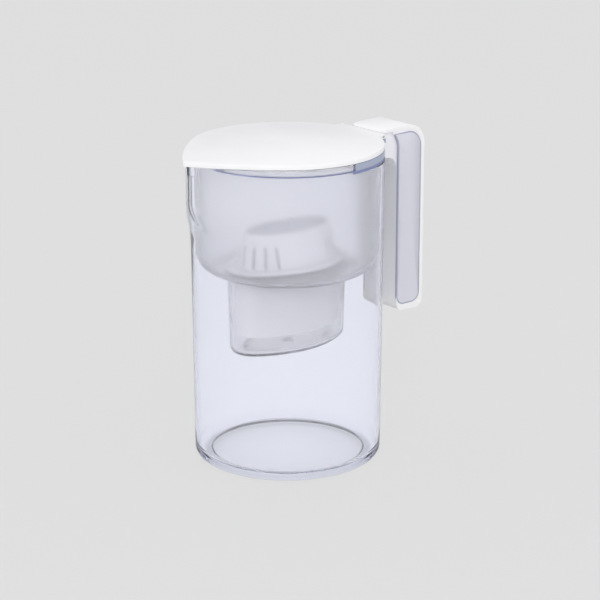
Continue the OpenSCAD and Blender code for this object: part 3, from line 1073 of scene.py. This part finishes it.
@dataclass
class Handle:
    """The open-ended handle: a lavender channel under a white cover, with a thin panel on either side that is
    coloured darker as painted shade for the shaded channel seen through the clear core.
    """

    core_edge: float = 0.8
    cover_edge: float = 0.9
    line_w: float = 1.9
    side_y: float = 16.25
    in_x: float = 91.2
    out_x: float = 114.0
    low_z: float = 97.6
    low_r: float = 7.0
    top_z: float = 231.4
    corner_r: float = 12.4
    brow_h: float = 13.4
    brow_r: float = 18.0
    brow_turn: float = 38.0
    inset: float = 0.7
    panel_drop: float = 2.2
    panel_y: Spot = (16.4, 17.08)
    panel_mid: Spot = (98.0, 214.0)
    panel_edge: float = 0.1
    panel_share: float = 0.996

    def side_line(self) -> list[Spot]:
        """The outline of the grip's side panel, from under the cover down, round and back up.

        Returns:
            X and Z of its points.
        """
        in_x, out_x = self.in_x + self.inset, self.out_x - self.inset
        low_z, top_z = self.low_z + self.inset, self.top_z - self.panel_drop
        low_r, corner_r = self.low_r - self.inset, self.corner_r - self.inset
        line = arc(in_x - self.brow_r, self.top_z - self.brow_h, self.brow_r, self.brow_turn, 0.0, 10)
        line += arc(in_x + low_r, low_z + low_r, low_r, 180.0, 270.0)
        line += arc(out_x - low_r, low_z + low_r, low_r, 270.0, 360.0)
        return line + arc(out_x - corner_r, top_z - corner_r, corner_r, 0.0, 90.0, 12)

    def panel(self, name: str, side: float) -> Mesh:
        """A thin inlay that fills the outline on one side of the grip; its darker finish is painted shade for
        the shaded channel seen through the core.

        Args:
            name: the mesh's name.
            side: -1 on the near side and 1 on the far one.

        Returns:
            The mesh.
        """
        (mid_x, mid_z), (low, high) = self.panel_mid, self.panel_y
        side_y = high - self.panel_edge
        levels = ((0.0, low), (1.0, low), (1.0, side_y), (self.panel_share, high), (0.0, high))
        outline = self.side_line()[:: int(side)]
        rings = [
            [(mid_x + (x - mid_x) * share, side * y, mid_z + (z - mid_z) * share) for x, z in outline]
            for share, y in levels
        ]
        return skin(name, rings)

    def build(self) -> None:
        """Build the core, the cover, the side panels in their darker painted shade, and the fine dark line of
        painted shade round each of them.
        """
        soften_node("handle_frame", "handle_core", "jug", HANDLE, self.core_edge)
        soften_node("handle_cap", "handle_cover", "jug", WHITE, self.cover_edge, 3)
        # The dark round line stands for the shadowed gap and dark edge round each panel: painted shade.
        grower = sweep_tree(Profile.ROUND, HANDLE_SHADE_LINE)
        for side, label in ((-1.0, "near"), (1.0, "far")):
            points = [(x, side * self.side_y, z) for x, z in self.side_line()]
            line = grower.grow(edge_path("panel_" + label, points, True), Width=self.line_w * MM)
            set_piece("handle_line_" + label, line, "jug", HANDLE_SHADE_LINE, sharp=60.0)
            panel = self.panel("panel_" + label, side)
            set_piece("handle_panel_" + label, panel, "jug", HANDLE_SHADED_PANEL, sharp=60.0)


# ---- funnel


@dataclass
class Funnel:
    """The frosted funnel with its oval well."""

    r: float = 66.3
    wall: float = 2.2
    low_z: float = 141.0
    floor_z: float = 143.5
    round_r: float = 15.0
    wall_levels: Spot = (180.0, 205.0)
    flange_r: float = 69.6
    flange_z: float = 225.0
    flange_edge: float = 0.4
    top_z: float = 229.5
    column_step: float = 1.5
    rear_half: float = 88.0
    well_a: float = 49.8
    well_b: float = 28.4
    well_low_z: float = 83.5
    well_floor_z: float = 86.0
    well_levels: Spot = (105.0, 125.0)
    well_top_z: float = 139.0
    foot_round: float = 5.0
    well_floor_round: float = 3.5
    neck_round: float = 2.0
    mouth_round: float = 1.0
    taper: float = 1.5 / 52.5
    outlet_r: float = 4.0
    rib_a: float = 37.3
    rib_b: float = 17.3
    rib_w: float = 1.4
    rib_h: float = 3.0
    rib_corner: float = 0.3
    rib_sink: float = 0.2
    rib_turn: float = 60.0
    rib_start_x: float = 24.0
    stud_x: float = 33.0
    stud_y: float = 30.0
    stud_r: float = 2.2
    stud_h: float = 1.5
    stud_round: float = 0.7
    stud_sink: float = 0.3

    def plain(self, r: float, z: float, turns: Sequence[float]) -> Ring:
        """A round ring."""
        return oval_ring(r, r, z, turns)

    def well(self, inset: float, z: float, turns: Sequence[float]) -> Ring:
        """A ring on the well's leaning wall, set in by inset."""
        shrink = self.taper * (self.low_z - z) + inset
        return oval_ring(self.well_a - shrink, self.well_b - shrink, z, turns)

    def flange(self, inset: float, z: float, turns: Sequence[float]) -> Ring:
        """A ring on the flange's edge, which drops back to the wall on the handle side.

        Args:
            inset: how far it is set in from the edge.
            z: its height.
            turns: the angles of its points.

        Returns:
            The ring.
        """
        rear = math.radians(self.rear_half)
        sizes = [self.r if min(t, math.tau - t) < rear else self.flange_r - inset for t in turns]
        return [(r * math.cos(t), r * math.sin(t), z) for r, t in zip(sizes, turns)]

    def rings(self) -> list[Ring]:
        """All rings of the funnel, from its outlet up the outside and down the inside.

        Returns:
            The rings, in order along the surface.
        """
        turns = columns(self.column_step, [(0.0, self.rear_half)])
        floor, lip, foot, big = self.well_low_z, self.flange_edge, self.foot_round, self.round_r
        wall, neck, mouth, toe = self.wall, self.neck_round, self.mouth_round, self.well_floor_round
        bore, small = self.r - wall, big - wall
        low_wall, high_wall = self.wall_levels
        low_well, high_well = self.well_levels
        runs = (
            (self.plain, [(self.outlet_r, floor)]),
            (self.well, arc(foot, floor + foot, foot, 270.0, 180.0, 7)),
            (self.well, [(0.0, low_well), (0.0, high_well), (0.0, self.well_top_z)]),
            (self.well, arc(-neck, self.low_z - neck, neck, 0.0, 90.0, 4)),
            (self.plain, arc(self.r - big, self.low_z + big, big, 270.0, 360.0, 12)),
            (self.plain, [(self.r, low_wall), (self.r, high_wall), (self.r, self.flange_z)]),
            (self.flange, [(lip, self.flange_z), (0.0, self.flange_z + lip)]),
            (self.flange, [(0.0, self.top_z - lip), (lip, self.top_z)]),
            (self.plain, [(bore + lip, self.top_z), (bore, self.top_z - lip)]),
            (self.plain, [(bore, high_wall), (bore, low_wall)]),
            (self.plain, arc(bore - small, self.floor_z + small, small, 360.0, 270.0, 10)),
            (self.well, arc(wall - mouth, self.floor_z - mouth, mouth, 90.0, 0.0, 4)),
            (self.well, [(wall, high_well), (wall, low_well)]),
            (self.well, arc(wall + toe, self.well_floor_z + toe, toe, 180.0, 270.0, 6)),
            (self.plain, [(self.outlet_r, self.well_floor_z)]),
        )
        return [shape(size, z, turns) for shape, spots in runs for size, z in spots]

    def rib_path(self, side: float) -> list[Point]:
        """The path of the rib under one end of the cartridge.

        Args:
            side: -1 under the front end and 1 under the rear one.

        Returns:
            The points.
        """
        turns = [math.radians(t) for t in spread(-self.rib_turn, self.rib_turn, 40)]
        line = [oval_point(self.rib_a, self.rib_b, t) for t in turns]
        z = self.well_floor_z + self.rib_h / 2 - self.rib_sink
        return [(side * x, y, z) for x, y in line if x > self.rib_start_x]

    def stud(self, side: float) -> Mesh:
        """A small domed stud on the funnel's floor.

        Args:
            side: -1 on the near side and 1 on the far one.

        Returns:
            The mesh.
        """
        turns, turn = even_angles(24), self.stud_round
        profile = [(0.0, -self.stud_sink), (self.stud_r, -self.stud_sink), (self.stud_r, self.stud_h - turn)]
        profile += arc(self.stud_r - turn, self.stud_h - turn, turn, 0.0, 90.0, 4)
        rings = [
            [
                (self.stud_x + r * math.cos(t), side * self.stud_y + r * math.sin(t), self.floor_z + z)
                for t in turns
            ]
            for r, z in [*profile, (0.0, self.stud_h)]
        ]
        return skin("stud", rings)

    def build(self) -> None:
        """Build the funnel's shell, its ribs and its studs."""
        mesh = skin("funnel_shell", self.rings(), closed=True)
        set_piece("funnel_shell", mesh, "upper_funnel", FROSTED, ["funnel"], sharp=38.0)
        grower = sweep_tree(Profile.FLAT, FROSTED)
        sizes = {"Width": self.rib_w, "Height": self.rib_h + 2 * self.rib_sink, "Corner": self.rib_corner}
        sizes = {name: size * MM for name, size in sizes.items()}
        for side, label in ((-1.0, "front"), (1.0, "rear")):
            rib = grower.grow(edge_path("rib_" + label, self.rib_path(side), False), **sizes)
            set_piece("seat_rib_" + label, rib, "upper_funnel", FROSTED, sharp=50.0)
        for side, label in ((-1.0, "near"), (1.0, "far")):
            set_piece("stud_" + label, self.stud(side), "upper_funnel", FROSTED, sharp=50.0)


@dataclass
class HingeSet:
    """The seal under the funnel's rim, the hinge frame, whose lower block is coloured dark as painted shade
    under the lid's rear while its ears stay white, and the pin.
    """

    ear_foot_z: float = 229.6
    seal_edge: float = 0.2
    frame_edge: float = 0.35

    def build(self) -> None:
        """Dress the seal and the pin and build the frame."""
        soften_node("rim_ring", "rim_seal", "upper_funnel", DARK_SEAL, self.seal_edge)
        whole = softened(merged_copy("hinge_frame"), self.frame_edge)
        # One frame cut at the ears' foot: the block below is coloured dark as painted shade under the lid's
        # rear, and the ears above stay white.
        block, ears = (level_cut(whole, self.ear_foot_z, above) for above in (False, True))
        set_piece("hinge_block", block, "upper_funnel", HINGE_SHADE, ["hinge_frame"])
        set_piece("hinge_ears", ears, "upper_funnel", WHITE)
        dress_node("hinge_pin", STEEL)


@dataclass
class Lid:
    """The white flip lid."""

    edge: float = 0.8

    def build(self) -> None:
        """Build the lid."""
        soften_node("lid_plate", "flip_lid", "lid", WHITE, self.edge, 3)


# ---- cartridge


@dataclass
class Cartridge:
    """The oval filter cartridge: a cup of two beds under a slotted hood."""

    foot_z: float = 146.4
    top_z: float = 172.6
    foot_a: float = 40.5
    foot_b: float = 25.5
    top_a: float = 37.6
    top_b: float = 18.0
    top_drop: float = 2.0
    wall: float = 1.6
    wall_levels: Point = (166.0, 160.0, 154.0)
    roof_shares: Point = (0.85, 0.5, 0.0)
    brim_a: float = 42.9
    brim_b: float = 27.1
    brim_h: float = 1.0
    brim_round: float = 0.5
    dish_a: float = 35.0
    dish_b: float = 13.0
    dish_depth: float = 1.4
    shade_inlay_z: Point = (0.05, 0.5, 0.65)
    shade_inlay_shares: Spot = (0.985, 0.97)
    lip: float = 0.3
    edge_r: float = 1.8
    slot_count: int = 7
    slot_step: float = math.radians(29.0)
    slot_w: float = 2.3
    slot_low_z: float = 147.4
    slot_top_z: float = 163.4
    lining_insets: Spot = (1.66, 2.1)
    lining_over: Spot = (0.4, 0.8)
    cup_edge: float = 0.5
    seal_a: float = 48.9
    seal_b: float = 27.7
    seal_w: float = 2.4
    seal_slack: float = 0.06
    seal_corner: float = 0.35
    bed_a: float = 41.4
    bed_b: float = 21.8
    frame_inset: float = 0.55
    frame_size: Point = (1.0, 0.58, 0.12)
    screen_inset: float = 0.6
    pitch: float = 1.15
    strand: float = 0.28

    def hood_ring(self, inset: float, z: float, turns: Sequence[float]) -> Ring:
        """A ring on the hood's leaning wall.

        Args:
            inset: how far it is set in from the outer face.
            z: its height.
            turns: the places of its points.

        Returns:
            The ring.
        """
        share = (z - self.foot_z) / (self.top_z - self.top_drop - self.foot_z)
        half_len = self.foot_a + (self.top_a - self.foot_a) * share - inset
        half_wid = self.foot_b + (self.top_b - self.foot_b) * share - inset
        return oval_ring(half_len, half_wid, z, turns)

    def hood(self) -> Mesh:
        """The hood's shell before its slots are cut, from the middle of its dish round to its underside.

        Returns:
            The closed mesh.
        """
        turns = even_angles(160)
        foot, top, edge, lip, wall = self.foot_z, self.top_z, self.edge_r, self.lip, self.wall
        brim, low = foot + self.brim_h, top - self.dish_depth
        under, (high, middle, deep) = low - wall, self.wall_levels
        dish = ((0.0, 0.0, low), (0.5, 0.0, low), (1.0, 0.0, low), (1.0, 0.0, top - lip), (1.0, lip, top))
        rings = [oval_ring(self.dish_a * s + more, self.dish_b * s + more, z, turns) for s, more, z in dish]
        outside = arc(edge, top - edge, edge, 90.0, 180.0, 5)
        outside += [(0.0, z) for z in (high, middle, deep, brim + self.brim_round)]
        outside.append((-self.brim_round, brim))
        rings += [self.hood_ring(inset, z, turns) for inset, z in outside]
        rim = ((lip, brim), (0.0, brim - lip), (0.0, foot + lip), (lip, foot))
        rings += [oval_ring(self.brim_a - s, self.brim_b - s, z, turns) for s, z in rim]
        rings += [oval_ring(self.foot_a - wall, self.foot_b - wall, foot, turns)]
        rings += [self.hood_ring(wall, z, turns) for z in (deep, middle, under - 1.0)]
        rings += [oval_ring(self.top_a * s, self.top_b * s, under, turns) for s in self.roof_shares]
        return skin("hood", rings)

    def slotted_hood(self) -> Mesh:
        """The hood with its intake slots.

        Returns:
            The mesh.
        """
        end_r = OVAL_END * self.foot_b**2 / self.foot_a
        return slot_tree(HOOD_SHADED).grow(
            self.hood(), Count=self.slot_count, Step=self.slot_step, End_Centre=(self.foot_a - end_r) * MM,
            End_Radius=end_r * MM, Width=self.slot_w * MM, Low=self.slot_low_z * MM,
            High=self.slot_top_z * MM,
        )

    def dish(self) -> Mesh:
        """The darker inlay that lies in the hood's dish: painted shade for the dish's floor under the lid.

        Returns:
            The mesh.
        """
        turns, (low, side, high) = even_angles(96), (self.top_z - self.dish_depth + z for z in self.shade_inlay_z)
        wide, narrow = self.shade_inlay_shares
        levels = ((0.0, low), (wide, low), (wide, side), (narrow, high), (0.0, high))
        return skin("dish", [oval_ring(self.dish_a * s, self.dish_b * s, z, turns) for s, z in levels])

    def lining(self) -> Mesh:
        """The thin oval sleeve that lies behind the hood's slots, darker than the screens as painted shade
        inside the slots.

        Returns:
            The mesh.
        """
        turns, (out, back), (under, over) = even_angles(120), self.lining_insets, self.lining_over
        low, high = self.slot_low_z - under, self.slot_top_z + over
        corners = ((out, low), (out, high), (back, high), (back, low))
        return skin("lining", [self.hood_ring(inset, z, turns) for inset, z in corners], closed=True)

    def seal(self) -> Mesh:
        """The soft seal under the cartridge's flange, a hair thinner than its seat.

        Returns:
            The mesh.
        """
        low, high = (corner[2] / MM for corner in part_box("cartridge_seal"))
        path = oval_ring(self.seal_a, self.seal_b, (low + high) / 2, even_angles(160))
        return sweep_tree(Profile.FLAT, PALE_SEAL).grow(
            edge_path("seal", path, True), Width=self.seal_w * MM, Height=(high - low - self.seal_slack) * MM,
            Corner=self.seal_corner * MM,
        )

    def screens(self) -> None:
        """Weave the three screens inside their oval frames."""
        turns = even_angles(120)
        frames, grower = sweep_tree(Profile.FLAT, SCREEN), screen_tree(SCREEN)
        width, height, corner = (size * MM for size in self.frame_size)
        frame_a, frame_b = self.bed_a - self.frame_inset, self.bed_b - self.frame_inset
        half_a, half_b = self.bed_a - self.screen_inset, self.bed_b - self.screen_inset
        for node in ("inlet_mesh", "divider_mesh", "outlet_mesh"):
            level = (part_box(node)[0][2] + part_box(node)[1][2]) / 2
            path = edge_path(node, oval_ring(frame_a, frame_b, level / MM, turns), True)
            woven = grower.grow(
                frames.grow(path, Width=width, Height=height, Corner=corner),
                Half_Length=half_a * MM, Half_Width=half_b * MM, Pitch=self.pitch * MM,
                Strand=self.strand * MM, Level=level,
            )
            set_piece(node.replace("mesh", "screen"), woven, "cartridge", SCREEN, [node], sharp=40.0)

    def bed(self, node: str, finish: Finish, size: float, density: float, seed: int) -> None:
        """Lay grains over the body of a bed.

        Args:
            node: the bed's CAD node.
            finish: the grains' finish.
            size: the grains' size in millimetres.
            density: grains per square metre.
            seed: the seed of their places.
        """
        inset, turns = size * 0.5, even_angles(96)
        low, high = (corner[2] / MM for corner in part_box(node))
        levels = ((0.0, low + inset), (1.0, low + inset), (1.0, high - inset), (0.0, high - inset))
        half_len, half_wid = self.bed_a - inset, self.bed_b - inset
        base = skin(node, [oval_ring(half_len * s, half_wid * s, z, turns) for s, z in levels])
        grains = scatter_tree(finish).grow(base, Density=density, Size=size * MM, Seed=seed)
        set_piece(node.replace("bed", "grains"), grains, "cartridge", finish, [node], sharp=60.0)

    def build(self) -> None:
        """Build the cup, the hood, the seal, the screens and the beds."""
        soften_node("cup", "cartridge_cup", "cartridge", CARTRIDGE, self.cup_edge)
        # The hood, its dish inlay and the lining behind its slots are coloured darker than the cup: painted
        # shade under the lid.
        set_piece("hood", self.slotted_hood(), "cartridge", HOOD_SHADED, ["cartridge_hood"], sharp=38.0)
        set_piece("hood_dish", self.dish(), "cartridge", DISH_SHADE)
        set_piece("hood_lining", self.lining(), "cartridge", SLOT_SHADE_LINING, sharp=50.0)
        set_piece("seal_ring", self.seal(), "cartridge", PALE_SEAL, ["cartridge_seal"], sharp=50.0)
        self.screens()
        self.bed("carbon_bed", CARBON, size=1.7, density=3.2e5, seed=11)
        self.bed("resin_bed", RESIN, size=1.1, density=7.0e5, seed=23)


# ---- studio


@dataclass
class Studio:
    """Floor, lamp, sky and camera. The lamp, the floor and the shade on it are in metres."""

    backdrop: float = 0.738
    inside: Colour = (0.815, 0.83, 0.905)
    mirrored: float = 0.55
    glow_share: float = 0.8
    shade_mid: Point = (-0.0025, -0.0031, 0.0)
    shade_levels: tuple[Spot, ...] = (
        (0.0, 0.93), (0.30, 0.90), (0.50, 0.84), (0.57, 0.66), (0.60, 0.66), (0.64, 1.0),
    )
    shade_scale: float = 10.0
    sky: Colour = (0.96, 0.96, 0.98)
    sky_stops: tuple[tuple[float, Colour], ...] = (
        (0.0, (0.30, 0.30, 0.36)), (0.10, (0.22, 0.22, 0.29)), (0.22, (0.55, 0.55, 0.62)),
        (0.40, (1.0, 1.0, 1.04)), (1.0, (1.15, 1.15, 1.17)),
    )
    through_stops: tuple[tuple[float, Colour], ...] = (
        (0.0, (0.62, 0.62, 0.62 * 1.06)), (0.34, (0.62, 0.62, 0.62 * 1.06)), (0.6, (1.0, 1.0, 1.0)),
    )
    sky_inside: float = 2.7
    heading: Spot = (0.636, 0.772)
    pitch: float = 17.216
    sensor: float = 36.0
    lens: float = 132.93
    eye: Point = (-971.6, -1193.8, 592.7)
    near_and_far: Spot = (0.05, 20.0)
    floor_reach: float = 3.0
    floor_drop: float = 0.0004
    lamp_power: float = 7.0
    lamp_size: float = 1.2
    lamp_at: Point = (-1.12, -1.33, 0.85)
    lamp_aim: Point = (0.0, 0.0, 0.12)

    def build(self) -> None:
        """Make the camera, the world, the floor and the lamp."""
        self.set_camera()
        self.set_world()
        self.set_floor()
        self.set_lamp()
        bpy.context.scene.view_settings.view_transform = "Standard"

    def set_camera(self) -> None:
        """Set the camera at the height and distance of a table-top view."""
        data = bpy.data.cameras.new("view")
        data.sensor_width, data.lens = self.sensor, self.lens
        data.clip_start, data.clip_end = self.near_and_far
        camera = add_object("view", data)
        camera.location = Vector(self.eye) * MM
        down = math.radians(self.pitch)
        ahead = (*(share * math.cos(down) for share in self.heading), -math.sin(down))
        self.turn_to(camera, Vector(ahead))
        bpy.context.scene.camera = camera

    @staticmethod
    def turn_to(thing: bpy.types.Object, ahead: Vector) -> None:
        """Turn a camera or a lamp to face a direction."""
        thing.rotation_mode = "QUATERNION"
        thing.rotation_quaternion = ahead.to_track_quat("-Z", "Y")

    @staticmethod
    def ray(sheet: NodeSheet, name: str) -> Wire:
        """The named value of the ray that is being traced."""
        return sheet.put("ShaderNodeLightPath", out=name)

    def first(self, sheet: NodeSheet) -> Wire:
        """1 for rays that have met no matt surface yet."""
        return 1.0 - self.ray(sheet, "Diffuse Depth").clamped()

    def set_world(self) -> None:
        """A soft sky: plain to the camera, darker near the horizon for gloss and clear pieces."""
        world = bpy.data.worlds.new("studio")
        world.use_nodes = True
        bpy.context.scene.world = world
        sheet = NodeSheet(world.node_tree)
        look = sheet.put("ShaderNodeTexCoord", out="Generated")
        height = sheet.put("ShaderNodeSeparateXYZ", {}, {0: look}, out="Z")
        shine, through = sheet.ramp(self.sky_stops, height), sheet.ramp(self.through_stops, height)
        first, clear = self.first(sheet), self.ray(sheet, "Is Transmission Ray")
        colour = sheet.tint(self.ray(sheet, "Is Glossy Ray") * first, opaque(self.sky), shine)
        colour = sheet.tint(clear * first, colour, through)
        colour = sheet.tint(clear * (1.0 - first), colour, opaque(self.sky_inside))
        colour = sheet.tint(self.ray(sheet, "Is Camera Ray"), colour, opaque(self.backdrop))
        light = sheet.put("ShaderNodeBackground", {}, {"Color": colour, "Strength": 1.0})
        sheet.put("ShaderNodeOutputWorld", {}, {"Surface": light})

    def set_floor(self) -> None:
        """A plain pale floor that keeps the soft shadow, with a faint painted contact shadow round the jug's
        foot that shows only through the jug.
        """
        reach = self.floor_reach
        corners = [(-reach, -reach, 0), (reach, -reach, 0), (reach, reach, 0), (-reach, reach, 0)]
        mesh = bpy.data.meshes.new("floor")
        mesh.from_pydata(corners, [], [(0, 1, 2, 3)])
        floor = add_object("floor", mesh)
        floor.location.z = -self.floor_drop
        material = bpy.data.materials.new("floor")
        material.use_nodes = True
        sheet = NodeSheet(material.node_tree)
        tone, first = opaque(self.backdrop), self.first(sheet)
        paint = sheet.put("ShaderNodeBsdfDiffuse", {}, {"Color": tone})
        seen, glossy = self.ray(sheet, "Is Camera Ray"), self.ray(sheet, "Is Glossy Ray") * first
        through = self.ray(sheet, "Is Transmission Ray") * first
        colour = sheet.tint(glossy, tone, opaque(self.mirrored))
        # Painted contact shadow: a ring, darkest near the foot's edge and set off a little toward the far
        # side, seen only through the jug.
        place = sheet.put("ShaderNodeTexCoord", out="Object")
        place = sheet.put("ShaderNodeVectorMath", {"operation": "SUBTRACT"}, {0: place, 1: self.shade_mid})
        away = sheet.put("ShaderNodeVectorMath", {"operation": "LENGTH"}, {0: place}, out="Value")
        stops = [(at, tuple(part * level for part in self.inside)) for at, level in self.shade_levels]
        colour = sheet.tint(through, colour, sheet.ramp(stops, away * self.shade_scale))
        glow = sheet.put("ShaderNodeEmission", {}, {"Color": colour, "Strength": 1.0})
        share = ((seen + glossy + through) * self.glow_share).clamped()
        shader = sheet.put("ShaderNodeMixShader", {}, {0: share, 1: paint, 2: glow})
        sheet.put("ShaderNodeOutputMaterial", {}, {"Surface": shader})
        mesh.materials.append(material)

    def set_lamp(self) -> None:
        """One square soft lamp above the camera, a little to its left, that faces the middle of the jug."""
        data = bpy.data.lights.new("key", "AREA")
        data.energy, data.size, data.shape = self.lamp_power, self.lamp_size, "SQUARE"
        lamp = add_object("key", data)
        lamp.location = self.lamp_at
        self.turn_to(lamp, Vector(self.lamp_aim) - Vector(self.lamp_at))


# ---- whole part


def main() -> None:
    """Build the pitcher and its studio."""
    logging.basicConfig(level=logging.INFO, format="%(name)s: %(message)s")
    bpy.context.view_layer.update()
    for part in (Jug(), Handle(), Funnel(), HingeSet(), Lid(), Cartridge(), Studio()):
        part.build()


if __name__ == "__main__":
    main()
